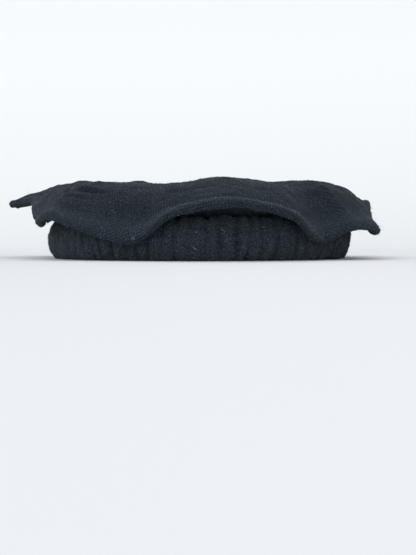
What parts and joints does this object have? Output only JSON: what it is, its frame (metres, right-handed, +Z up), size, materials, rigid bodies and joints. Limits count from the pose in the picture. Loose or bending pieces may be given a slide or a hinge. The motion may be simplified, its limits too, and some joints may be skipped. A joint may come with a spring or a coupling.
{
  "type": "pakol",
  "caption": "Soft round black wool hat with a wide flat crown, its edge folded into dips and lobes, lying over a thick rolled and gathered band.",
  "frame": {"origin": "bottom centre of the hat's box, on the surface that the roll rests on", "axes": "+Z up through the crown, -Y towards the front of the hat, +X towards the wearer's left"},
  "size_m": [0.2486, 0.2704, 0.0485],
  "materials": {
    "crown_wool": "matt felted wool, blue black",
    "side_wool": "matt felted wool, blue black, gathered",
    "roll_wool": "matt felted wool, blue black, wound and gathered"
  },
  "bodies": {
    "root": {"crown": "crown_wool", "side_wall": "side_wool", "roll": "roll_wool"}
  },
  "joints": []
}
